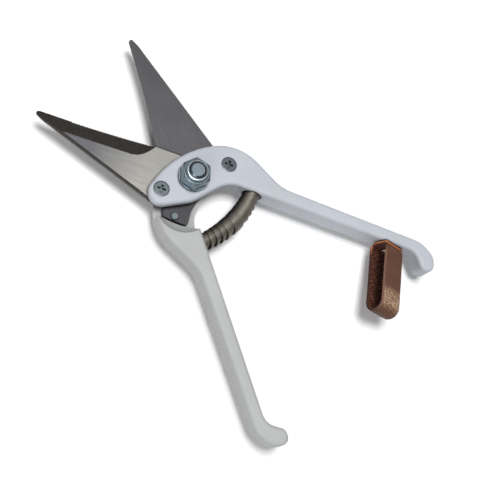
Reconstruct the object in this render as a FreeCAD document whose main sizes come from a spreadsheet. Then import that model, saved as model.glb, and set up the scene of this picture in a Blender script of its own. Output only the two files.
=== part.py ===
"""Floral snips: two identical cast handles, two identical blades, a pivot bolt, a volute spring, a strap.

Each handle and each blade is drawn once, in the half-tool frame: the pivot axis is Z, +X runs towards
the blade tip when the tool is shut, the grip lies on the -Y side, and Z = 0 is the plane where the two
blades meet. The front half is that drawing turned by half the open angle. The rear half is the same
pieces turned over about X and then turned the other way, so the halves are one casting used twice.

Model frame: millimetres, +Z up. The tool lies on the rear face of the bolt head, which is Z = 0; the
pivot axis is the Z axis; +X points between the open blades.
"""
import FreeCAD, Part
import math
import os
import Sketcher

Vector = FreeCAD.Vector

doc = FreeCAD.newDocument("FloralSnips")

# ---------------------------------------------------------------- driving dimensions
DIMENSIONS = [
    ("OpenAngle", 54.0),            # between the two halves as the tool stands open, degrees
    ("HandleReach", 131.3),         # pivot to the far end of a handle
    ("GripOuter", 12.3),            # centre line of the shut tool to the outside of a grip
    ("GripThickness", 12.3),        # front to back
    ("HeadThickness", 3.6),         # the plate of each handle around the pivot
    ("HeadEndRadius", 6.7),         # round end of that plate beside the blade
    ("CastRounding", 1.8),          # rounding of the cast edges
    ("DishRadius", 16.0),           # the shoulder is hollowed to a ball of this radius beside the blade's tang
    ("BladeReach", 79.3),           # pivot to blade tip
    ("BladeThickness", 2.4),
    ("BackChamfer", 0.9),           # along the straight back of each blade
    ("EdgeLand", 0.35),             # thickness left at the cutting edge
    ("ToothPitch", 1.25),
    ("ToothDepth", 0.6),
    ("SlideGap", 0.3),              # between the faces that pass each other
    ("BoltDiameter", 8.0),
    ("PivotBore", 8.1),
    ("BoltHeadHeight", 5.3),
    ("NutFlats", 13.0),
    ("NutHeight", 8.0),
    ("NutHexHeight", 6.2),
    ("NutCollarDiameter", 11.6),
    ("InsertWidth", 0.6),           # the nylon ring in the nut, from the bolt outwards
    ("HexRim", 12.4),               # each hexagon's corners are cut back on a cone from this diameter
    ("NutTurn", 12.0),              # how far the nut's corners stand off the X axis, degrees
    ("WasherDiameter", 14.8),
    ("WasherThickness", 1.0),
    ("ScrewDiameter", 4.0),
    ("ScrewBore", 4.2),
    ("ScrewHeadDiameter", 7.8),
    ("SpringSeatX", -31.0),         # centre of each spring pocket along its grip
    ("SpringSeatDiameter", 10.0),
    ("SpringSeatDepth", 3.2),
    ("SpringEndRadius", 4.0),
    ("SpringMiddleRadius", 4.9),
    ("SpringStripWidth", 2.9),
    ("SpringStripThickness", 0.7),
    ("SpringTurns", 11.0),
    ("SpringBow", 4.0),             # how far the middle of the spring bulges away from the pivot
    ("StrapX", -106.0),             # strap rivet along the front grip
    ("StrapWidth", 12.5),
    ("StrapDepth", 11.6),
    ("StrapLength", 38.5),
    ("StrapThickness", 1.2),
    ("StrapRoot", 7.3),             # the strap bends between its riveted base and here
    ("StrapTwist", 22.0),           # the loop's turn about its rivet, degrees
    ("StrapLean", 10.0),            # the loop's lean to its near side, degrees
    ("RivetDiameter", 2.6),
    ("RivetHeadDiameter", 4.4),
]
sheet = doc.addObject("Spreadsheet::Sheet", "Dimensions")
for row, (alias, value) in enumerate(DIMENSIONS, start=1):
    sheet.set(f"A{row}", alias)
    sheet.set(f"B{row}", str(value))
    sheet.setAlias(f"B{row}", alias)
doc.recompute()
size = {alias: float(sheet.get(alias)) for alias, _ in DIMENSIONS}

HALF_GRIP = size["GripThickness"] / 2
BLADE_NEAR = size["SlideGap"] / 2                       # the blade face that meets the other blade
BLADE_FAR = BLADE_NEAR + size["BladeThickness"]         # the blade face that the handle plate lies on
MEETING_HEIGHT = size["BoltHeadHeight"] + HALF_GRIP     # height of the plane between the blades
SCREW_PLACES = [("tip_side", 12.6, 11.4, 0.0), ("grip_side", -14.8, -13.2, 0.8)]   # x, y, end stands out

half_turn = FreeCAD.Rotation(Vector(0, 0, 1), size["OpenAngle"] / 2)
half_turn_back = FreeCAD.Rotation(Vector(0, 0, 1), -size["OpenAngle"] / 2)
turned_over = FreeCAD.Rotation(Vector(1, 0, 0), 180)
FRONT = FreeCAD.Placement(Vector(0, 0, MEETING_HEIGHT), half_turn)
REAR = FreeCAD.Placement(Vector(0, 0, MEETING_HEIGHT), half_turn_back * turned_over)
CENTRE = FreeCAD.Placement(Vector(0, 0, 0), FreeCAD.Rotation())

sub_parts = []


# ---------------------------------------------------------------- drawing helpers
def add_body(label, placement):
    body = doc.addObject("PartDesign::Body", label)
    body.Label = label
    body.Placement = placement
    sub_parts.append(body)
    return body


def add_sketch(body, name, role, offset="0"):
    """A sketch on one of the body's own planes, lifted along the plane's normal by an expression."""
    sketch = body.newObject("Sketcher::SketchObject", f"{body.Label}_{name}")
    plane = next(item for item in body.Origin.OriginFeatures if item.Role == role)
    sketch.AttachmentSupport = [(plane, "")]
    sketch.MapMode = "FlatFace"
    sketch.setExpression("AttachmentOffset.Base.z", offset)
    return sketch


def draw(sketch, corners):
    """A closed outline from its corners. A corner is (x, y), or (x, y, radius) where it is rounded."""
    arrive, leave, middles = [], [], []
    for index, corner in enumerate(corners):
        point = Vector(corner[0], corner[1], 0)
        before = corners[index - 1]
        after = corners[(index + 1) % len(corners)]
        if len(corner) == 2:
            arrive.append(point)
            leave.append(point)
            middles.append(None)
            continue
        back = (Vector(before[0], before[1], 0) - point).normalize()
        ahead = (Vector(after[0], after[1], 0) - point).normalize()
        half_angle = back.getAngle(ahead) / 2
        reach = corner[2] / math.tan(half_angle)
        inwards = (back + ahead).normalize()
        arrive.append(point + back * reach)
        leave.append(point + ahead * reach)
        middles.append(point + inwards * (corner[2] / math.sin(half_angle) - corner[2]))
    for index, middle in enumerate(middles):
        if middle is not None:
            sketch.addGeometry(Part.Arc(arrive[index], middle, leave[index]))
        sketch.addGeometry(Part.LineSegment(leave[index], arrive[(index + 1) % len(corners)]))


def draw_circle(sketch, x, y, diameter):
    """A circle fixed in place, with its diameter bound to an expression."""
    index = sketch.addGeometry(Part.Circle(Vector(x, y, 0), Vector(0, 0, 1), 1.0))
    sketch.addConstraint(Sketcher.Constraint("DistanceX", -1, 1, index, 3, x))
    sketch.addConstraint(Sketcher.Constraint("DistanceY", -1, 1, index, 3, y))
    constraint = sketch.addConstraint(Sketcher.Constraint("Diameter", index, 2.0))
    sketch.setExpression(f"Constraints[{constraint}]", diameter)


def draw_hexagon(sketch, flats):
    corner = flats / math.sqrt(3)
    ring = [(corner * math.cos(math.radians(60 * i)), corner * math.sin(math.radians(60 * i))) for i in range(6)]
    draw(sketch, ring)


def cut_corners(body, height, into):
    """Cuts a hexagon's corners back on a 30 degree cone at one end. into is +1 where its metal lies above."""
    rim = size["HexRim"] / 2
    past = size["NutFlats"] / 2 + 1.5
    drop = (past - rim) * math.tan(math.radians(30))
    profile = add_sketch(body, "corner_profile", "XZ_Plane")
    draw(profile, [(rim, height), (past, height), (past, height + into * drop)])
    groove = body.newObject("PartDesign::Groove", f"{body.Label}_corner_cut")
    groove.Profile = profile
    groove.ReferenceAxis = (profile, ["V_Axis"])
    groove.Angle = 360
    doc.recompute()


def add_feature(body, kind, name, profile, length, side="One side", reverse=False):
    """A Pad or Pocket whose length is an expression."""
    feature = body.newObject(f"PartDesign::{kind}", f"{body.Label}_{name}")
    feature.Profile = profile
    feature.SideType = side
    feature.Reversed = reverse
    feature.setExpression("Length", length)
    doc.recompute()
    return feature


def add_dress(body, kind, name, edges, amount):
    """A Fillet or Chamfer on the named edges of the body's tip, its size an expression."""
    base = body.Tip
    feature = body.newObject(f"PartDesign::{kind}", f"{body.Label}_{name}")
    feature.Base = (base, edges)
    feature.setExpression("Radius" if kind == "Fillet" else "Size", amount)
    doc.recompute()
    return feature


def flat_edges(shape, height, keep=lambda edge: True):
    """Names of the edges that lie wholly at one height."""
    names = []
    for number, edge in enumerate(shape.Edges, start=1):
        box = edge.BoundBox
        if abs(box.ZMin - height) < 1e-4 and abs(box.ZMax - height) < 1e-4 and keep(edge):
            names.append(f"Edge{number}")
    return names


def is_circle(edge, diameter):
    return isinstance(edge.Curve, Part.Circle) and abs(edge.Curve.Radius - diameter / 2) < 1e-3


# ---------------------------------------------------------------- handles
HANDLE_END = -size["HandleReach"]
OUTER = -size["GripOuter"]
GRIP_INNER = -6.0                           # inner side of the grip at the strap
PLATE_END = size["HeadEndRadius"]
HANDLE_OUTLINE = [
    (19.45, 14.6, PLATE_END),               # round end beside the blade
    (11.0, -10.1, 48.0),                    # outer side of the plate
    (-16.0, -27.0, 24.0),                   # shoulder
    (-43.7, OUTER, 19.0),                   # dip into the grip
    (HANDLE_END + 9.3, OUTER, 15.0),        # hooked end
    (HANDLE_END - 0.5, -6.2, 8.0),
    (HANDLE_END + 0.5, 2.2, 3.4),
    (HANDLE_END + 6.5, 1.7, 3.0),
    (HANDLE_END + 11.8, -6.2, 8.0),
    (-17.6, -4.7, 14.0),                    # arch
    (-3.4, 11.5, 16.0),
    (12.3, 20.5, PLATE_END),
]
# Inside this outline the casting is cut away behind its plate, so that the other half can pass.
SHOULDER_CUT = [
    (-25.2, 0.0),
    (-25.2, -5.4),
    (-22.4, -9.0, 2.0),
    (-14.9, -19.3, 4.0),
    (-12.0, -30.0),
    (30.0, -30.0),
    (30.0, 30.0),
    (-25.2, 30.0),
]
DISH_CENTRE = Vector(-12.0, -9.0, -HALF_GRIP - 8.0)


def make_handle(label, placement):
    body = add_body(label, placement)
    half = "Dimensions.GripThickness / 2"

    outline = add_sketch(body, "outline", "XY_Plane")
    draw(outline, HANDLE_OUTLINE)
    add_feature(body, "Pad", "casting", outline, "Dimensions.GripThickness", side="Symmetric")

    rims = flat_edges(body.Tip.Shape, HALF_GRIP) + flat_edges(body.Tip.Shape, -HALF_GRIP)
    add_dress(body, "Fillet", "cast_rounding", rims, "Dimensions.CastRounding")

    ledge = add_sketch(body, "ledge", "XY_Plane", f"{half} - Dimensions.HeadThickness")
    draw(ledge, SHOULDER_CUT)
    add_feature(body, "Pocket", "ledge_cut", ledge, "Dimensions.GripThickness")

    dish = body.newObject("PartDesign::SubtractiveSphere", f"{label}_dish")
    dish.AttachmentSupport = [(next(item for item in body.Origin.OriginFeatures if item.Role == "XY_Plane"), "")]
    dish.MapMode = "FlatFace"
    dish.AttachmentOffset = FreeCAD.Placement(DISH_CENTRE, FreeCAD.Rotation())
    dish.setExpression("Radius", "Dimensions.DishRadius")
    doc.recompute()

    seat = add_sketch(body, "spring_seat", "XZ_Plane", "4.9")
    draw_circle(seat, size["SpringSeatX"], 0, "Dimensions.SpringSeatDiameter")
    add_feature(body, "Pocket", "spring_seat_cut", seat, "Dimensions.SpringSeatDepth * 2", side="Symmetric")

    pivot = add_sketch(body, "pivot_bore", "XY_Plane")
    draw_circle(pivot, 0, 0, "Dimensions.PivotBore")
    add_feature(body, "Pocket", "pivot_cut", pivot, "Dimensions.GripThickness * 2", side="Symmetric")

    screws = add_sketch(body, "screw_bores", "XY_Plane")
    for _, x, y, _ in SCREW_PLACES:
        draw_circle(screws, x, y, "Dimensions.ScrewBore")
    add_feature(body, "Pocket", "screw_cut", screws, "Dimensions.GripThickness * 2", side="Symmetric")
    sinks = flat_edges(body.Tip.Shape, HALF_GRIP, lambda edge: is_circle(edge, size["ScrewBore"]))
    add_dress(body, "Chamfer", "screw_sinks", sinks, "(Dimensions.ScrewHeadDiameter + 0.3 - Dimensions.ScrewBore) / 2")
    return body


front_handle = make_handle("front_handle", FRONT)
rear_handle = make_handle("rear_handle", REAR)

rivet_bore = add_sketch(front_handle, "rivet_bore", "XZ_Plane", f"{-GRIP_INNER}")
draw_circle(rivet_bore, size["StrapX"], 0, "Dimensions.RivetDiameter")
add_feature(front_handle, "Pocket", "rivet_cut", rivet_bore, "9", side="Symmetric")


# ---------------------------------------------------------------- blades
TIP = size["BladeReach"]
EDGE_START = (TIP - 1.6, -6.0)
EDGE_MIDDLE = (50.0, -7.5)
EDGE_END = (21.2, -10.4)
TOOTH_FIRST = 24.5
TOOTH_LAST = 62.0
BEVEL_BEND = 31.0
BEVEL_SECTIONS = [20.6, 21.6, 22.8, 24.2, 26.0, 28.2, BEVEL_BEND, TIP + 4]
BLADE_REST = [
    (7.0, -10.8, 6.0),
    (-2.3, -14.4, 12.0),
    (-13.2, -18.9, 2.0),                    # tang
    (-20.9, -8.8, 1.5),
    (-14.2, -4.4, 10.0),
    (-2.2, 9.6, 12.0),
    (11.0, 19.0, 2.5),
    (TIP - 4.6, -1.9, 7.0),                 # straight back, round tip
    (TIP + 0.5, -4.4, 1.2),
]


def edge_offset(x):
    """The cutting edge's y on the arc through its three points."""
    arc = Part.Arc(Vector(*EDGE_START, 0), Vector(*EDGE_MIDDLE, 0), Vector(*EDGE_END, 0)).toShape().Curve
    centre, radius = arc.Center, arc.Radius
    side = 1 if centre.y < EDGE_MIDDLE[1] else -1
    return centre.y + side * math.sqrt(radius**2 - (x - centre.x) ** 2)


def bevel_top(x):
    """Where the bevel leaves the far face: a straight line that curves down to the edge near the plate."""
    return -1.2 + 0.05 * (x - BEVEL_BEND) - 0.078 * max(0.0, BEVEL_BEND - x) ** 2


def edge_corners(toothed):
    """The cutting edge from its tip end: a fine saw edge between two plain stretches, or a plain edge."""
    pitch = size["ToothPitch"]
    count = round((TOOTH_LAST - TOOTH_FIRST) / pitch)
    corners = [EDGE_START]
    for i in range(count):
        point = TOOTH_LAST - i * pitch
        corners.append((point, edge_offset(point)))
        if toothed:
            valley = point - pitch / 2
            corners.append((valley, edge_offset(valley) + size["ToothDepth"]))
    return corners + [EDGE_END]


def make_blade(label, placement, toothed):
    body = add_body(label, placement)

    outline = add_sketch(body, "outline", "XY_Plane", "Dimensions.SlideGap / 2")
    draw(outline, edge_corners(toothed) + BLADE_REST)
    add_feature(body, "Pad", "plate", outline, "Dimensions.BladeThickness")

    back = flat_edges(body.Tip.Shape, BLADE_FAR, lambda edge: edge.Length > 50 and edge.BoundBox.YMax > 10)
    add_dress(body, "Chamfer", "back_chamfer", back, "Dimensions.BackChamfer")

    # The bevel falls from the far face to a thin land at the cutting edge, and runs out before the plate.
    sections = []
    for number, x in enumerate(BEVEL_SECTIONS):
        section = add_sketch(body, f"bevel_{number}", "YZ_Plane", f"{x}")
        top = bevel_top(x)
        edge_y = edge_offset(min(x, TIP - 2)) - 0.1
        land = BLADE_NEAR + size["EdgeLand"]
        fall = (BLADE_FAR - land) / (top - edge_y)
        low = (edge_y - 3, land - 3 * fall)
        draw(section, [(top, BLADE_FAR), low, (low[0], BLADE_FAR + 2), (top, BLADE_FAR + 2)])
        sections.append(section)
    bevel = body.newObject("PartDesign::SubtractiveLoft", f"{label}_bevel")
    bevel.Profile = sections[0]
    bevel.Sections = sections[1:]
    bevel.Ruled = True
    doc.recompute()

    bores = add_sketch(body, "bores", "XY_Plane")
    draw_circle(bores, 0, 0, "Dimensions.PivotBore")
    for _, x, y, _ in SCREW_PLACES:
        draw_circle(bores, x, y, "Dimensions.ScrewBore")
    add_feature(body, "Pocket", "bore_cut", bores, "Dimensions.GripThickness", side="Symmetric")
    return body


front_blade = make_blade("front_blade", FRONT, toothed=True)
rear_blade = make_blade("rear_blade", REAR, toothed=False)


# ---------------------------------------------------------------- blade screws
def make_screw(label, placement, x, y, stand):
    """A countersunk screw with a crossed recess. Its end stands this far through the blade."""
    body = add_body(label, placement * FreeCAD.Placement(Vector(x, y, 0), FreeCAD.Rotation()))
    head = size["ScrewHeadDiameter"] / 2
    shank = size["ScrewDiameter"] / 2
    end = BLADE_NEAR - stand
    crown = HALF_GRIP - 0.15
    profile = add_sketch(body, "profile", "XZ_Plane")
    draw(profile, [(0, end), (shank - 0.4, end), (shank, end + 0.4), (shank, crown - head + shank),
                   (head, crown), (head - 0.5, crown + 0.15), (0, crown + 0.15)])
    turned = body.newObject("PartDesign::Revolution", f"{label}_turned")
    turned.Profile = profile
    turned.ReferenceAxis = (profile, ["V_Axis"])
    turned.Angle = 360
    doc.recompute()
    cross = add_sketch(body, "cross", "XY_Plane", f"{crown + 1.0}")
    arm, half = 2.1, 0.58
    plus = [(half, arm), (half, half), (arm, half), (arm, -half), (half, -half), (half, -arm),
            (-half, -arm), (-half, -half), (-arm, -half), (-arm, half), (-half, half), (-half, arm)]
    draw(cross, plus)
    add_feature(body, "Pocket", "recess", cross, "2.6")
    return body


for half_name, placement in [("front", FRONT), ("rear", REAR)]:
    for place, x, y, stand in SCREW_PLACES:
        make_screw(f"{half_name}_screw_{place}", placement, x, y, stand)


# ---------------------------------------------------------------- pivot
PLATE_TOP = MEETING_HEIGHT + HALF_GRIP + size["SlideGap"]      # under the washer
NUT_BOTTOM = PLATE_TOP + size["WasherThickness"]
NUT_TOP = NUT_BOTTOM + size["NutHeight"]

pivot_bolt = add_body("pivot_bolt", CENTRE)
hexagon = add_sketch(pivot_bolt, "head", "XY_Plane")
draw_hexagon(hexagon, size["NutFlats"])
add_feature(pivot_bolt, "Pad", "head_pad", hexagon, "Dimensions.BoltHeadHeight")
cut_corners(pivot_bolt, 0, 1)
shank = add_sketch(pivot_bolt, "shank", "XY_Plane")
draw_circle(shank, 0, 0, "Dimensions.BoltDiameter")
add_feature(pivot_bolt, "Pad", "shank_pad", shank, f"{NUT_TOP + 0.5}")
bolt_end = flat_edges(pivot_bolt.Tip.Shape, NUT_TOP + 0.5)
add_dress(pivot_bolt, "Chamfer", "end_chamfer", bolt_end, "0.8")

pivot_washer = add_body("pivot_washer", CENTRE)
ring = add_sketch(pivot_washer, "ring", "XY_Plane", f"{PLATE_TOP}")
draw_circle(ring, 0, 0, "Dimensions.WasherDiameter")
draw_circle(ring, 0, 0, "Dimensions.PivotBore")
add_feature(pivot_washer, "Pad", "ring_pad", ring, "Dimensions.WasherThickness")

nut_turn = FreeCAD.Rotation(Vector(0, 0, 1), size["NutTurn"])
pivot_nut = add_body("pivot_nut", FreeCAD.Placement(Vector(0, 0, 0), nut_turn))
nut_hexagon = add_sketch(pivot_nut, "hexagon", "XY_Plane", f"{NUT_BOTTOM}")
draw_hexagon(nut_hexagon, size["NutFlats"])
add_feature(pivot_nut, "Pad", "hexagon_pad", nut_hexagon, "Dimensions.NutHexHeight")
cut_corners(pivot_nut, NUT_BOTTOM + size["NutHexHeight"], -1)
collar = add_sketch(pivot_nut, "collar", "XY_Plane", f"{NUT_BOTTOM}")
draw_circle(collar, 0, 0, "Dimensions.NutCollarDiameter")
add_feature(pivot_nut, "Pad", "collar_pad", collar, "Dimensions.NutHeight")
collar_rim = flat_edges(pivot_nut.Tip.Shape, NUT_TOP)
add_dress(pivot_nut, "Fillet", "collar_rounding", collar_rim, "0.9")
nut_bore = add_sketch(pivot_nut, "bore", "XY_Plane", f"{NUT_TOP}")
draw_circle(nut_bore, 0, 0, "Dimensions.BoltDiameter + 0.04")
add_feature(pivot_nut, "Pocket", "bore_cut", nut_bore, "Dimensions.NutHeight")
insert_seat = add_sketch(pivot_nut, "insert_seat", "XY_Plane", f"{NUT_TOP}")
draw_circle(insert_seat, 0, 0, "Dimensions.BoltDiameter + 2 * Dimensions.InsertWidth")
add_feature(pivot_nut, "Pocket", "insert_seat_cut", insert_seat, "1.6")

nut_insert = add_body("nut_insert", CENTRE)
insert = add_sketch(nut_insert, "ring", "XY_Plane", f"{NUT_TOP - 1.6}")
draw_circle(insert, 0, 0, "Dimensions.BoltDiameter + 2 * Dimensions.InsertWidth")
draw_circle(insert, 0, 0, "Dimensions.BoltDiameter + 0.04")
add_feature(nut_insert, "Pad", "ring_pad", insert, "1.3")


# ---------------------------------------------------------------- spring
def make_spring(label):
    """A flat strip coiled into a bowed barrel: its section lofted through every twentieth of a turn."""
    seat = FRONT.multVec(Vector(size["SpringSeatX"], -4.9 - size["SpringSeatDepth"] + 1.0, 0))
    reach = seat.y
    bow = size["SpringBow"]
    turns = size["SpringTurns"]
    half_width = size["SpringStripWidth"] / 2
    lead = 2 * (abs(reach) - half_width) / turns

    def corner(turn, across, outwards):
        along = (turn / turns - 0.5) * turns * lead + across * half_width
        share = along / abs(reach)
        radius = (size["SpringEndRadius"] + (size["SpringMiddleRadius"] - size["SpringEndRadius"])
                  * math.cos(share * math.pi / 2) - (1 - outwards) * size["SpringStripThickness"])
        slope = math.atan2(2 * bow * share, abs(reach))
        middle = Vector(seat.x - bow * (1 - share**2), along, MEETING_HEIGHT)
        sideways = Vector(math.cos(slope), -math.sin(slope), 0)
        turned = 2 * math.pi * turn
        return middle + sideways * (radius * math.cos(turned)) + Vector(0, 0, radius * math.sin(turned))

    corners = [(-1, 0), (1, 0), (1, 1), (-1, 1)]
    count = int(20 * turns)
    sections = []
    for i in range(count + 1):
        ring = [corner(turns * i / count, *item) for item in corners]
        sections.append(Part.makePolygon(ring + [ring[0]]))
    spring = doc.addObject("Part::Feature", label)
    spring.Label = label
    spring.Shape = Part.makeLoft(sections, True, False)
    spring.Placement = CENTRE
    sub_parts.append(spring)
    return spring


make_spring("volute_spring")


# ---------------------------------------------------------------- strap
# The loop's own frame: Z runs from the rivet out along the loop, X is the axis that the loop goes round.
strap_top = Vector(size["StrapX"], GRIP_INNER + size["SlideGap"] + 0.15, 0)
stand_up = FreeCAD.Rotation(Vector(1, 0, 0), -90)
twist = FreeCAD.Rotation(Vector(0, 1, 0), -size["StrapTwist"])
STRAP = FRONT * FreeCAD.Placement(strap_top, twist * stand_up)
RIVET = FRONT * FreeCAD.Placement(strap_top, stand_up)

depth = size["StrapDepth"] / 2
leather = size["StrapThickness"]
length = size["StrapLength"]
root = size["StrapRoot"]
inner = depth - leather
doubled = 2 * leather
lean = math.tan(math.radians(size["StrapLean"]))

# The riveted base: both ends of the strap, one over the other.
strap_base = add_body("strap_base", STRAP)
base_outline = add_sketch(strap_base, "layers", "YZ_Plane")
draw(base_outline, [(-depth, 0, 2.0), (depth, 0, 2.0),
                    (depth - doubled * lean, doubled), (-depth - doubled * lean, doubled)])
add_feature(strap_base, "Pad", "layers_pad", base_outline, "Dimensions.StrapWidth", side="Symmetric")
strap_hole = add_sketch(strap_base, "rivet_hole", "XY_Plane", "0")
draw_circle(strap_hole, 0, 0, "Dimensions.RivetDiameter + 1.0")
add_feature(strap_base, "Pocket", "rivet_hole_cut", strap_hole, f"{4 * doubled}", side="Symmetric")

# The loop beyond the bend: two walls and the round end.
strap_loop = add_body("strap_loop", STRAP)
loop_outline = add_sketch(strap_loop, "loop", "YZ_Plane")
outer_walls = [(-depth, root), (-depth, length, depth * 0.8), (depth, length, depth * 0.8), (depth, root)]
inner_walls = [(inner, root), (inner, length - leather, inner * 0.8),
               (-inner, length - leather, inner * 0.8), (-inner, root)]
draw(loop_outline, [(y - z * lean, z, *rounding) for y, z, *rounding in outer_walls + inner_walls])
add_feature(strap_loop, "Pad", "loop_pad", loop_outline, "Dimensions.StrapWidth", side="Symmetric")

strap_rivet = add_body("strap_rivet", RIVET)
rivet_shank = add_sketch(strap_rivet, "shank", "XY_Plane", "-4.2")
draw_circle(rivet_shank, 0, 0, "Dimensions.RivetDiameter - 0.05")
add_feature(strap_rivet, "Pad", "shank_pad", rivet_shank, f"{4.2 + doubled + 0.6}")
rivet_head = add_sketch(strap_rivet, "head", "XY_Plane", f"{doubled + 0.3}")
draw_circle(rivet_head, 0, 0, "Dimensions.RivetHeadDiameter")
add_feature(strap_rivet, "Pad", "head_pad", rivet_head, "1.2")
rivet_rim = flat_edges(strap_rivet.Tip.Shape, doubled + 1.5)
add_dress(strap_rivet, "Fillet", "head_rounding", rivet_rim, "0.8")


# ---------------------------------------------------------------- check and write
doc.recompute()
for item in doc.Objects:
    if "Invalid" in item.State or "Error" in item.State:
        raise RuntimeError(f"{item.Label} did not build")
for item in sub_parts:
    if item.Shape.isNull() or not item.Shape.isValid():
        raise RuntimeError(f"{item.Label} has no valid shape")

os.makedirs("parts", exist_ok=True)
for item in sub_parts:
    item.Shape.exportStep(os.path.join("parts", f"{item.Label}.step"))
    print(item.Label, round(item.Shape.Volume, 1), len(item.Shape.Solids))
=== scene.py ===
"""Floral snips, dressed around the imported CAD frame: painted castings, ground blades, zinc-plated
fasteners, a coiled volute spring and a riveted leather strap. Metres, +Z up, floor at Z = 0."""
import math

import bmesh
import bpy
import numpy as np
from mathutils import Matrix, Vector


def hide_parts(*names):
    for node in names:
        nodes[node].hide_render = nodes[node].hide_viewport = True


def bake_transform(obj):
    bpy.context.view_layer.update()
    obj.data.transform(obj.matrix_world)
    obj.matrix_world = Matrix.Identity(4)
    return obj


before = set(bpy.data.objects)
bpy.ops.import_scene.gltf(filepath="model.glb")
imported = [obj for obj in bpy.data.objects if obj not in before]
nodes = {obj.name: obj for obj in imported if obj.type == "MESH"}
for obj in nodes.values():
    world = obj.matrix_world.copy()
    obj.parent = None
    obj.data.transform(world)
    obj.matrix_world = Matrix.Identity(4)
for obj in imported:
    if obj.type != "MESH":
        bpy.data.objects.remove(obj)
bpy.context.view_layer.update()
scene = bpy.context.scene

MM = 0.001
HALF_OPEN = math.radians(27)                    # each half's turn away from the shut line
MEETING = Vector((0, 0, 11.45 * MM))            # the pivot axis at the plane between the blades
FRONT = Matrix.Translation(MEETING) @ Matrix.Rotation(HALF_OPEN, 4, "Z")


# ---------------------------------------------------------------- node helpers
MIX_FIRST, MIX_SECOND, MIX_RESULT = 6, 7, 2     # the Mix node's colour sockets share their names with others


class Finish:
    """A Principled material with short calls for the nodes that the finishes share."""

    def __init__(self, name, **surface):
        self.material = bpy.data.materials.new(name)
        self.material.use_nodes = True
        self.nodes = self.material.node_tree.nodes
        self.links = self.material.node_tree.links
        self.shader = self.nodes["Principled BSDF"]
        for socket, value in surface.items():
            self.shader.inputs[socket.replace("_", " ")].default_value = value
        where = self.nodes.new("ShaderNodeTexCoord")
        self.place = where.outputs["Object"]
        self.facing = where.outputs["Normal"]

    def add(self, kind, sockets, **settings):
        node = self.nodes.new("ShaderNode" + kind)
        for name, value in settings.items():
            setattr(node, name, value)
        for socket, value in sockets.items():
            if isinstance(value, bpy.types.NodeSocket):
                self.links.new(value, node.inputs[socket])
            else:
                node.inputs[socket].default_value = value
        return node

    def noise(self, size, detail=3.0, roughness=0.55, place=None):
        """Noise from 0 to 1 whose patches are about this size across, in metres."""
        sockets = {"Vector": place or self.place, "Scale": 1 / size, "Detail": detail,
                   "Roughness": roughness}
        return self.add("TexNoise", sockets).outputs["Fac"]

    def turned(self, stretch, turn=0.0):
        """The object's coordinates turned about Z, then scaled along each axis."""
        headed = self.add("Mapping", {"Vector": self.place, "Rotation": (0, 0, -turn)})
        return self.add("Mapping", {"Vector": headed.outputs[0], "Scale": stretch}).outputs[0]

    def axis(self, vector, name):
        return self.add("SeparateXYZ", {0: vector}).outputs[name]

    def span(self, value, low, high, start=0.0, end=1.0):
        """The value's place between low and high, drawn between start and end."""
        sockets = {"Value": value, "From Min": low, "From Max": high, "To Min": start, "To Max": end}
        return self.add("MapRange", sockets).outputs[0]

    def stretch(self, value, start, end, fade=0.04):
        """1 where the value is between start and end, with soft edges inside them."""
        rise = self.span(value, start, start + fade)
        fall = self.span(value, end, end - fade)
        return self.math("MULTIPLY", rise, fall)

    def math(self, operation, first, second=0.0):
        return self.add("Math", {0: first, 1: second}, operation=operation).outputs[0]

    def mix(self, share, first, second, blend="MIX"):
        """One colour over another; each is a socket or an (r, g, b) triple."""
        node = self.add("Mix", {"Factor": share}, data_type="RGBA", blend_type=blend)
        for index, colour in ((MIX_FIRST, first), (MIX_SECOND, second)):
            if isinstance(colour, bpy.types.NodeSocket):
                self.links.new(colour, node.inputs[index])
            else:
                node.inputs[index].default_value = (*colour, 1.0)
        return node.outputs[MIX_RESULT]

    def corner_shade(self, reach):
        """1 in a corner or gap narrower than the reach, in metres, falling to 0 on open surface; the finishes
        paint shade where it is 1.
        """
        open_sky = self.add("AmbientOcclusion", {"Distance": reach}, samples=8).outputs["AO"]
        return self.span(open_sky, 0.35, 0.85, 1.0, 0.0)

    def bump(self, height, depth, normal=None):
        """A bump this deep in metres, laid over the surface or over another bump."""
        sockets = {"Height": height, "Distance": depth, "Strength": 1.0}
        if normal is not None:
            sockets["Normal"] = normal
        return self.add("Bump", sockets).outputs[0]

    def finish(self, colour=None, roughness=None, normal=None):
        for socket, value in (("Base Color", colour), ("Roughness", roughness), ("Normal", normal)):
            if value is not None:
                self.links.new(value, self.shader.inputs[socket])
        return self.material


# ---------------------------------------------------------------- finishes
def cast_paint(name, clean, dull):
    """Satin off-white enamel over a casting: slow waviness, orange peel and a few rubbed, dusty patches."""
    paint = Finish(name, Coat_Weight=0.03, Coat_Roughness=0.3, Specular_IOR_Level=0.24)
    slow = paint.noise(22 * MM, detail=2)
    fine = paint.noise(2.2 * MM, detail=4)
    peel = paint.noise(0.9 * MM, detail=1)
    colour = paint.mix(paint.span(slow, 0.35, 0.65), clean, dull)
    specks = paint.span(paint.noise(1.3 * MM, detail=5, roughness=0.7), 0.70, 0.80, 0.0, 0.30)
    colour = paint.mix(specks, colour, (0.27, 0.27, 0.26))
    colour = paint.mix(paint.span(fine, 0.3, 0.7, 0.0, 0.12), colour, (0.32, 0.33, 0.33))
    # painted shade: corners and gaps in the casting are drawn near-black
    colour = paint.mix(paint.corner_shade(1.7 * MM), colour, (0.02, 0.02, 0.02))
    rounded = paint.add("Bevel", {"Radius": 0.5 * MM}, samples=6).outputs[0]
    normal = paint.bump(slow, 0.25 * MM, rounded)
    normal = paint.bump(peel, 0.012 * MM, normal)
    return paint.finish(colour, paint.span(fine, 0.3, 0.7, 0.42, 0.54), normal)


LEVEL, TILTED = 0.994, 0.986                    # the normal's height on a flat face and on the bevel
PALE_START, PALE_END = 24 * MM, 50 * MM         # the outer face darkens between these, towards the tip
TANG_START, TANG_END = -3 * MM, -11 * MM        # the darker tang is behind the pivot


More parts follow.
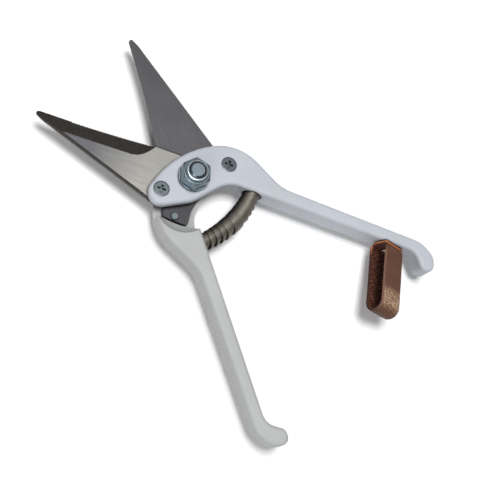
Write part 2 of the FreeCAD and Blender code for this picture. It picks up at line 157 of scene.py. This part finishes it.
def blade_steel(name, outwards, turn):
    """Ground steel. The outer face is pale and brushed, the inner face is darker, the bevel nearly brown.

    outwards is +1 where the outer face looks up and -1 where it looks down; turn is the blade's heading."""
    steel = Finish(name, Metallic=0.6, Specular_IOR_Level=0.4)
    lift = steel.math("MULTIPLY", steel.axis(steel.facing, "Z"), outwards)
    outer = steel.span(lift, TILTED, LEVEL)
    bevel = steel.math("MULTIPLY", steel.span(lift, 0.5, 0.6), steel.span(lift, LEVEL, TILTED))
    inner = steel.span(lift, -0.6, -0.8)
    along = steel.axis(steel.turned((1, 1, 1), turn), "X")
    grain = steel.noise(1.0, detail=4, place=steel.turned((60, 3200, 60), turn))
    cross_grain = steel.noise(1.0, detail=3, place=steel.turned((1500, 90, 60), turn))
    cloud = steel.noise(14 * MM, detail=3)

    pale = steel.mix(steel.span(along, PALE_START, PALE_END), (0.240, 0.236, 0.220), (0.090, 0.090, 0.099))
    dark = steel.mix(steel.span(cloud, 0.3, 0.7), (0.074, 0.072, 0.078), (0.088, 0.085, 0.091))
    mottle = steel.noise(0.8 * MM, detail=4, roughness=0.7)
    brown = steel.mix(steel.span(mottle, 0.34, 0.68), (0.024, 0.021, 0.018), (0.060, 0.053, 0.046))
    # painted shade: the edge walls, neither face nor bevel, are drawn near-black
    colour = steel.mix(outer, (0.045, 0.044, 0.042), pale)
    colour = steel.mix(bevel, colour, brown)
    colour = steel.mix(inner, colour, dark)
    tang = steel.span(along, TANG_START, TANG_END)
    colour = steel.mix(tang, colour, (0.46, 0.47, 0.49), "MULTIPLY")
    colour = steel.mix(steel.span(grain, 0.3, 0.7, 0.0, 0.5), colour, (0.62, 0.62, 0.61), "MULTIPLY")
    spots = steel.span(steel.noise(1.6 * MM, detail=5, roughness=0.7), 0.70, 0.78, 0.0, 0.4)
    colour = steel.mix(spots, colour, (0.06, 0.045, 0.03))
    # painted shade: corners and gaps, such as under the other blade's edge, are drawn near-black
    colour = steel.mix(steel.corner_shade(2.0 * MM), colour, (0.012, 0.012, 0.012))
    roughness = steel.span(grain, 0.3, 0.7, 0.42, 0.54)
    roughness = steel.math("ADD", roughness, steel.math("MULTIPLY", bevel, 0.04))
    normal = steel.bump(grain, 0.010 * MM)
    normal = steel.bump(steel.math("MULTIPLY", cross_grain, bevel), 0.02 * MM, normal)
    return steel.finish(colour, roughness, normal)


def zinc(name, shade, metallic):
    """Zinc plate: bluish, with a faint cloud, turning marks and painted shade in its corners; the shade
    argument darkens the plate's tone.
    """
    plate = Finish(name, Metallic=metallic)
    cloud = plate.noise(1.6 * MM, detail=1)
    marks = plate.noise(0.3 * MM, detail=1, place=plate.turned((1, 1, 6)))
    light = [shade * tone for tone in (0.46, 0.555, 0.60)]
    dull = [shade * tone for tone in (0.34, 0.435, 0.49)]
    colour = plate.mix(plate.span(cloud, 0.3, 0.7), light, dull)
    # painted shade: corners and gaps of the fasteners are drawn near-black
    colour = plate.mix(plate.corner_shade(1.0 * MM), colour, (0.010, 0.014, 0.020))
    rounded = plate.add("Bevel", {"Radius": 0.12 * MM}, samples=4).outputs[0]
    normal = plate.bump(marks, 0.003 * MM, rounded)
    return plate.finish(colour, plate.span(cloud, 0.3, 0.7, 0.28, 0.38), normal)


def nylon():
    ring = Finish("nylon")
    cloud = ring.noise(0.8 * MM, detail=3)
    colour = ring.mix(cloud, (0.012, 0.013, 0.015), (0.03, 0.03, 0.033))
    return ring.finish(colour, ring.span(cloud, 0.3, 0.7, 0.35, 0.6), ring.bump(cloud, 0.02 * MM))


LINE_SPACING = 1.15 * MM                        # between the rolling lines on the spring's strip


def spring_steel():
    """Oil-blackened strip steel, brown in worn patches, with long rolling marks and painted shade on the side
    next to the pivot.
    """
    strip = Finish("spring_steel", Metallic=0.7)
    cloud = strip.noise(3.5 * MM, detail=4)
    fine = strip.noise(0.5 * MM, detail=3, place=strip.turned((1, 3, 1)))
    colour = strip.mix(strip.span(cloud, 0.3, 0.7), (0.13, 0.116, 0.098), (0.215, 0.195, 0.168))
    colour = strip.mix(strip.span(fine, 0.45, 0.75, 0.0, 0.6), colour, (0.10, 0.075, 0.055))
    across = strip.add("Attribute", {}, attribute_name="across").outputs["Fac"]
    line = strip.math("SINE", strip.math("MULTIPLY", across, math.tau / LINE_SPACING))
    line = strip.math("MULTIPLY", strip.span(line, 0.70, 0.95), strip.span(cloud, 0.35, 0.6, 0.15, 0.7))
    colour = strip.mix(line, colour, (0.035, 0.028, 0.022))
    pivot_side_shade = strip.add("Attribute", {}, attribute_name="pivot_side_shade").outputs["Fac"]
    # painted shade: the side of each turn next to the pivot is drawn near-black
    colour = strip.mix(strip.span(pivot_side_shade, 0.42, 0.88), colour, (0.006, 0.005, 0.004))
    # painted shade: the gaps between the turns are drawn near-black
    colour = strip.mix(strip.corner_shade(1.1 * MM), colour, (0.008, 0.006, 0.004))
    rounded = strip.add("Bevel", {"Radius": 0.12 * MM}, samples=4).outputs[0]
    normal = strip.bump(fine, 0.03 * MM, rounded)
    return strip.finish(colour, strip.span(cloud, 0.3, 0.7, 0.48, 0.62), normal)


def leather(name, worn):
    """The strap's smooth side: fine pores, creases and a scuffed, paler stretch.

    worn holds the shares of the strap's length where that stretch starts and ends."""
    hide = Finish(name, Specular_IOR_Level=0.14)
    pores = hide.add("TexVoronoi", {"Vector": hide.place, "Scale": 1 / (0.55 * MM)}).outputs["Distance"]
    cloud = hide.noise(6 * MM, detail=3)
    streak = hide.noise(1.0, detail=4, place=hide.turned((500, 500, 120)))
    colour = hide.mix(hide.span(cloud, 0.3, 0.7), (0.084, 0.038, 0.023), (0.112, 0.052, 0.032))
    colour = hide.mix(hide.span(streak, 0.4, 0.7, 0.0, 0.4), colour, (0.14, 0.078, 0.056))
    along = hide.add("Attribute", {}, attribute_name="along").outputs["Fac"]
    under = hide.stretch(along, 0.45, 0.55)             # the loop's underside
    colour = hide.mix(under, colour, (0.74, 0.58, 0.50), "MULTIPLY")
    window = hide.stretch(along, *worn)
    scuffs = hide.span(hide.noise(1.1 * MM, detail=5, roughness=0.75), 0.42, 0.60)
    colour = hide.mix(hide.math("MULTIPLY", window, scuffs), colour, (0.44, 0.30, 0.20))
    normal = hide.bump(pores, 0.035 * MM)
    normal = hide.bump(streak, 0.06 * MM, normal)
    return hide.finish(colour, hide.span(cloud, 0.3, 0.7, 0.42, 0.6), normal)


def suede():
    """The strap's flesh side: a dark matted nap."""
    nap = Finish("strap_suede", Specular_IOR_Level=0.12, Roughness=0.95)
    tufts = nap.noise(0.8 * MM, detail=5, roughness=0.7)
    patches = nap.noise(2.2 * MM, detail=4)
    colour = nap.mix(nap.span(patches, 0.35, 0.65), (0.018, 0.007, 0.005), (0.050, 0.018, 0.012))
    colour = nap.mix(nap.span(tufts, 0.52, 0.64), colour, (0.30, 0.105, 0.065))
    return nap.finish(colour, None, nap.bump(tufts, 0.25 * MM))


def cut_edge():
    """The strap's cut edge: layered fibres, orange-brown near the rivet and darker where it is handled."""
    edge = Finish("strap_edge", Specular_IOR_Level=0.2)
    fibres = edge.noise(0.35 * MM, detail=5)
    along = edge.add("Attribute", {}, attribute_name="along").outputs["Fac"]
    fresh = edge.mix(edge.span(fibres, 0.35, 0.65), (0.20, 0.070, 0.030), (0.46, 0.17, 0.075))
    handled = edge.mix(edge.span(fibres, 0.35, 0.65), (0.015, 0.007, 0.005), (0.070, 0.024, 0.016))
    burnished = edge.mix(edge.span(fibres, 0.35, 0.65), (0.130, 0.062, 0.040), (0.200, 0.102, 0.070))
    colour = edge.mix(edge.span(along, 0.10, 0.16), fresh, handled)
    colour = edge.mix(edge.span(along, 0.50, 0.58), colour, burnished)
    colour = edge.mix(edge.span(along, 0.86, 0.91), colour, handled)
    return edge.finish(colour, edge.span(fibres, 0.3, 0.7, 0.6, 0.8), edge.bump(fibres, 0.08 * MM))


def rivet_steel():
    head = Finish("rivet_steel", Metallic=1.0)
    cloud = head.noise(0.9 * MM, detail=4)
    colour = head.mix(head.span(cloud, 0.3, 0.7), (0.72, 0.68, 0.60), (0.50, 0.47, 0.42))
    return head.finish(colour, head.span(cloud, 0.3, 0.7, 0.2, 0.38), head.bump(cloud, 0.01 * MM))


# ---------------------------------------------------------------- materials on the CAD pieces
def dress(material, *names):
    for name in names:
        for material_slot in nodes[name].material_slots:
            material_slot.material = material


# The front casting is a little whiter and bluer than the rear one.
dress(cast_paint("front_paint", (0.418, 0.442, 0.484), (0.390, 0.409, 0.446)), "front_handle")
dress(cast_paint("rear_paint", (0.364, 0.371, 0.368), (0.335, 0.341, 0.335)), "rear_handle")
dress(blade_steel("front_blade_steel", 1, HALF_OPEN), "front_blade")
dress(blade_steel("rear_blade_steel", -1, -HALF_OPEN), "rear_blade")
dress(zinc("nut_zinc", 0.62, 1.0), "pivot_washer", "pivot_nut")
dress(zinc("bolt_zinc", 0.36, 1.0), "pivot_bolt")
dress(zinc("screw_zinc", 0.20, 0.5),
      "front_screw_tip_side", "front_screw_grip_side", "rear_screw_tip_side", "rear_screw_grip_side")
dress(nylon(), "nut_insert")
dress(rivet_steel(), "strap_rivet")


# ---------------------------------------------------------------- mesh helpers
def grid_mesh(name, rings, materials, side_kinds=None, end_kind=0):
    """A mesh skinned through rings of points, with a flat face over each end.

    side_kinds gives the material of each side of a ring, and end_kind the material of the two ends."""
    count = len(rings[0])
    side_kinds = side_kinds or [0] * count
    points = [tuple(point) for ring in rings for point in ring]
    faces = []
    kinds = []
    for here in range(0, len(points) - count, count):
        ahead = here + count
        for j in range(count):
            k = (j + 1) % count
            faces.append((here + j, here + k, ahead + k, ahead + j))
            kinds.append(side_kinds[j])
    faces.append(tuple(range(count))[::-1])
    faces.append(tuple(range(len(points) - count, len(points))))
    kinds += [end_kind] * 2
    mesh = bpy.data.meshes.new(name)
    mesh.from_pydata(points, [], faces)
    for material in materials:
        mesh.materials.append(material)
    for face, kind in zip(mesh.polygons, kinds):
        face.material_index = kind
        face.use_smooth = True
    skin = bmesh.new()
    skin.from_mesh(mesh)
    bmesh.ops.recalc_face_normals(skin, faces=skin.faces)
    skin.to_mesh(mesh)
    skin.free()
    piece = bpy.data.objects.new(name, mesh)
    scene.collection.objects.link(piece)
    return piece


def store(piece, name, values):
    """A number kept at each point of a mesh, for its material to read."""
    attribute = piece.data.attributes.new(name, "FLOAT", "POINT")
    attribute.data.foreach_set("value", np.array(values, dtype=np.float32))


# ---------------------------------------------------------------- volute spring
SPRING_REACH = 20.35 * MM                       # from the middle of the spring to each seat
SPRING_X = -24.4 * MM
SPRING_BOW = 4.0 * MM                           # how far the middle bulges away from the pivot
SPRING_TURNS = 11
STEPS_PER_TURN = 44
END_RADIUS = 4.05 * MM
SWELL = 0.85 * MM                               # how much wider the middle is than the ends
STRIP = 0.55 * MM                               # the strip's thickness
STRIP_END = 2.9 * MM                            # its width at the two ends
LAP = 0.30 * MM                                 # how far each edge goes past half the pitch
TUCK = 1.35 * MM                                # how far a turn's covered edge dips under its neighbour
CROWN = 0.10 * MM                               # how much the strip bulges across its width
STRIP_SECTION = (                               # (share of the half width, 0 outside or 1 inside)
    (-1, 1), (-1, 0), (-0.9, 0), (0, 0), (0.9, 0), (1, 0), (1, 1), (0, 1))


def spring_places(turns, middle):
    """How far along the spring the strip is at each turn: the middle turn is the widest."""
    spacing = 1 + 0.65 * np.exp(-((turns - middle) / 1.1) ** 2)
    travel = np.concatenate([[0], np.cumsum((spacing[1:] + spacing[:-1]) / 2)])
    return (travel / travel[-1] - 0.5) * 2 * (SPRING_REACH - STRIP_END / 2)


def volute_spring():
    """Flat strip wound into two cones that meet in a broad middle turn; each turn laps the next smaller."""
    turns = np.linspace(0, SPRING_TURNS, STEPS_PER_TURN * SPRING_TURNS + 1)
    middle = SPRING_TURNS / 2
    places = spring_places(turns, middle)
    rings = []
    widths = []
    pivot_side_shade = []
    for turn, along, pitch in zip(turns, places, np.gradient(places, turns)):
        share = along / SPRING_REACH
        outer = END_RADIUS + SWELL * math.cos(share * math.pi / 2)
        half_width = min(0.5 * pitch + LAP, SPRING_REACH - abs(along))
        side = math.tanh((turn - middle) * 1.6)                     # which end the turn's lip faces
        slope = math.atan2(2 * SPRING_BOW * share, SPRING_REACH)
        spine = Vector((SPRING_X - SPRING_BOW * (1 - share**2), along, MEETING.z))
        sideways = Vector((math.cos(slope), -math.sin(slope), 0))
        onwards = Vector((math.sin(slope), math.cos(slope), 0))
        angle = math.tau * turn
        outwards = sideways * math.cos(angle) + Vector((0, 0, math.sin(angle)))
        hook = 0.22 + 0.78 * max(0.0, -math.cos(angle)) ** 1.5      # lips stand out on the bulging side
        ring = []
        for across, deep in STRIP_SECTION:
            tuck = TUCK * (0.5 - 0.5 * across * side) * abs(side) * hook
            crown = CROWN * (1 - across**2)
            radius = outer - tuck + crown - deep * STRIP
            ring.append(spine + onwards * (across * half_width) + outwards * radius)
            widths.append(across * half_width)
            pivot_side_shade.append(max(0.0, math.cos(angle)))          # painted shade on the side next to the pivot
        rings.append(ring)
    spring = grid_mesh("volute_coils", rings, [spring_steel()])
    spring.data.set_sharp_from_angle(angle=math.radians(40))
    store(spring, "across", widths)
    store(spring, "pivot_side_shade", pivot_side_shade)
    return spring


spring = volute_spring()
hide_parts("volute_spring")
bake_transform(spring)


# ---------------------------------------------------------------- leather strap
STRAP_TOP = Vector((-106, -5.55, 0)) * MM     # where the strap meets the grip, in the front half's frame
STRAP_PLACE = (FRONT @ Matrix.Translation(STRAP_TOP) @ Matrix.Rotation(math.radians(-22), 4, "Y")
               @ Matrix.Rotation(math.radians(-90), 4, "X"))
STRAP_WIDTH = 12.5 * MM
STRAP_LENGTH = 38.5 * MM
STRAP_DEPTH = 11.6 * MM
STRAP_LEAN = math.tan(math.radians(10))
LEATHER = 1.2 * MM                              # the leather's thickness
WORN = (0.55, 0.68)                             # the scuffed stretch, as shares of the strap's length
SMOOTH, FLESH, CUT = 0, 1, 2                    # places in the strap's list of materials


def strap_path():
    """The middle line of the leather, once round the loop from one end to the other, as (y, z) pairs.

    The two ends lie one over the other against the grip, and the rivet goes through both."""
    half = STRAP_DEPTH / 2 - LEATHER / 2
    outer_end = LEATHER / 2
    inner_end = outer_end + LEATHER * 1.04
    bottom = STRAP_LENGTH - LEATHER / 2
    corners = [
        (-half * 0.97, outer_end, 0.0),         # on the near side
        (half, outer_end, 3.4 * MM),
        (half, bottom, half * 0.92),
        (-half, bottom, half * 0.92),
        (-half, inner_end, 1.6 * MM),
        (half * 0.70, inner_end, 0.0),
    ]
    leaning = [(y - z * STRAP_LEAN, z, r) for y, z, r in corners]
    return rounded_path(leaning, 0.7 * MM)


def rounded_path(corners, step):
    """Points along a line of corners, each corner rounded by its radius."""
    points = []
    for index, (y, z, radius) in enumerate(corners):
        here = Vector((y, z))
        if radius == 0:
            points.append(here)
            continue
        back = (Vector(corners[index - 1][:2]) - here).normalized()
        ahead = (Vector(corners[index + 1][:2]) - here).normalized()
        half_angle = back.angle(ahead) / 2
        reach = radius / math.tan(half_angle)
        centre = here + (back + ahead).normalized() * (radius / math.sin(half_angle))
        start = here + back * reach - centre
        sweep = start.angle_signed(here + ahead * reach - centre)
        pieces = max(4, int(abs(sweep) * radius / (0.35 * MM)))
        for i in range(pieces + 1):
            turn = -sweep * i / pieces
            points.append(centre + Matrix.Rotation(turn, 2) @ start)
    filled = [points[0]]
    for point in points[1:]:
        gap = (point - filled[-1]).length
        parts = max(1, round(gap / step))
        start = filled[-1].copy()
        filled += [start.lerp(point, (i + 1) / parts) for i in range(parts)]
    return filled


def strap_section():
    """The strap's cut section, and the material of each of its sides.

    A point is its place across the width and its place in the thickness, from +1 outside to -1 inside."""
    half = STRAP_WIDTH / 2
    flat_end = half - 0.45 * MM
    lanes = np.linspace(-flat_end, flat_end, 9)
    rounded = [(half - 0.1 * MM, 0.78), (half, 0.4), (half, -0.4), (half - 0.1 * MM, -0.78)]
    section = [(across, 1) for across in lanes]
    section += rounded
    section += [(across, -1) for across in lanes[::-1]]
    section += [(-across, -face) for across, face in rounded]
    flat_sides = len(lanes) - 1
    edge = [CUT] * (len(rounded) + 1)
    return section, [SMOOTH] * flat_sides + edge + [FLESH] * flat_sides + edge


def leather_strap():
    path = strap_path()
    lengths = np.concatenate([[0], np.cumsum([(b - a).length for a, b in zip(path, path[1:])])])
    half = STRAP_WIDTH / 2
    thick = LEATHER / 2
    section, side_kinds = strap_section()
    rings = []
    for i, point in enumerate(path):
        before = path[max(i - 1, 0)]
        after = path[min(i + 1, len(path) - 1)]
        onwards = (after - before).normalized()
        outwards = Vector((onwards.y, -onwards.x))
        share = lengths[i] / lengths[-1]
        cup = 0.25 * MM * math.sin(math.pi * share) ** 2             # a strap curls a little across its width
        ring = []
        for across, face in section:
            curl = cup * (across / half) ** 2
            place = point + outwards * (face * thick - curl)
            ring.append(STRAP_PLACE @ Vector((across, place.x, place.y)))
        rings.append(ring)

    materials = [leather("strap_leather", WORN), suede(), cut_edge()]
    strap = grid_mesh("leather_loop", rings, materials, side_kinds, end_kind=CUT)
    store(strap, "along", np.repeat(lengths / lengths[-1], len(section)))
    return strap


strap = leather_strap()
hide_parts("strap_base", "strap_loop")
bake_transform(strap)


# ---------------------------------------------------------------- floor, light and camera
def make_floor():
    bpy.ops.mesh.primitive_plane_add(size=6)
    floor = bpy.context.object
    floor.name = "floor"
    white = Finish("floor_white", Roughness=0.9, Specular_IOR_Level=0.1, Base_Color=(0.9, 0.9, 0.9, 1))
    floor.data.materials.append(white.material)


TOOL_MIDDLE = Vector((-0.02, 0, 0))
HORIZON = (0.170, 0.171, 0.172, 1)
ZENITH = (0.214, 0.216, 0.222, 1)


def make_sky():
    """An even grey sky, a little lighter and bluer above."""
    world = bpy.data.worlds.new("studio")
    scene.world = world
    world.use_nodes = True
    tree = world.node_tree
    where = tree.nodes.new("ShaderNodeTexCoord")
    height = tree.nodes.new("ShaderNodeSeparateXYZ")
    ramp = tree.nodes.new("ShaderNodeValToRGB")
    tree.links.new(where.outputs["Generated"], height.inputs[0])
    tree.links.new(height.outputs["Z"], ramp.inputs[0])
    tree.links.new(ramp.outputs[0], tree.nodes["Background"].inputs["Color"])
    ramp.color_ramp.elements[0].position = 0.0
    ramp.color_ramp.elements[0].color = HORIZON
    ramp.color_ramp.elements[1].position = 1.0
    ramp.color_ramp.elements[1].color = ZENITH


def make_light(name, place, size, power):
    """A square soft light that looks at the middle of the tool."""
    lamp = bpy.data.lights.new(name, "AREA")
    lamp.size = size
    lamp.energy = power
    light = bpy.data.objects.new(name, lamp)
    light.location = place
    light.rotation_euler = (TOOL_MIDDLE - Vector(place)).to_track_quat("-Z", "Y").to_euler()
    scene.collection.objects.link(light)


# The camera's place and its own three axes, fitted to the outline of the tool.
CAMERA_PLACE = (-0.03564, 0.1730, 0.3812)
CAMERA_RIGHT = Vector((-0.70278346, -0.64534866, 0.29936685))
CAMERA_UP = Vector((0.71139587, -0.63951193, 0.29144537))
CAMERA_BACK = Vector((0.0033648, 0.41779133, 0.90853678))


def make_camera():
    """Looks down from the +Y side, with the blades pointing to the picture's upper left."""
    camera = bpy.data.objects.new("camera", bpy.data.cameras.new("camera"))
    camera.data.sensor_width = 36
    camera.data.lens = 63.35
    camera.data.clip_start = 0.01
    turn = Matrix((CAMERA_RIGHT, CAMERA_UP, CAMERA_BACK)).transposed().to_4x4()
    camera.matrix_world = Matrix.Translation(CAMERA_PLACE) @ turn
    scene.collection.objects.link(camera)
    scene.camera = camera


make_floor()
make_sky()
make_light("key", (0.02, -0.04, 1.1), size=0.42, power=12.3)
make_light("side", (-0.15, 0.90, 0.62), size=0.6, power=4.4)
make_camera()
scene.view_settings.view_transform = "Standard"
scene.view_settings.look = "None"
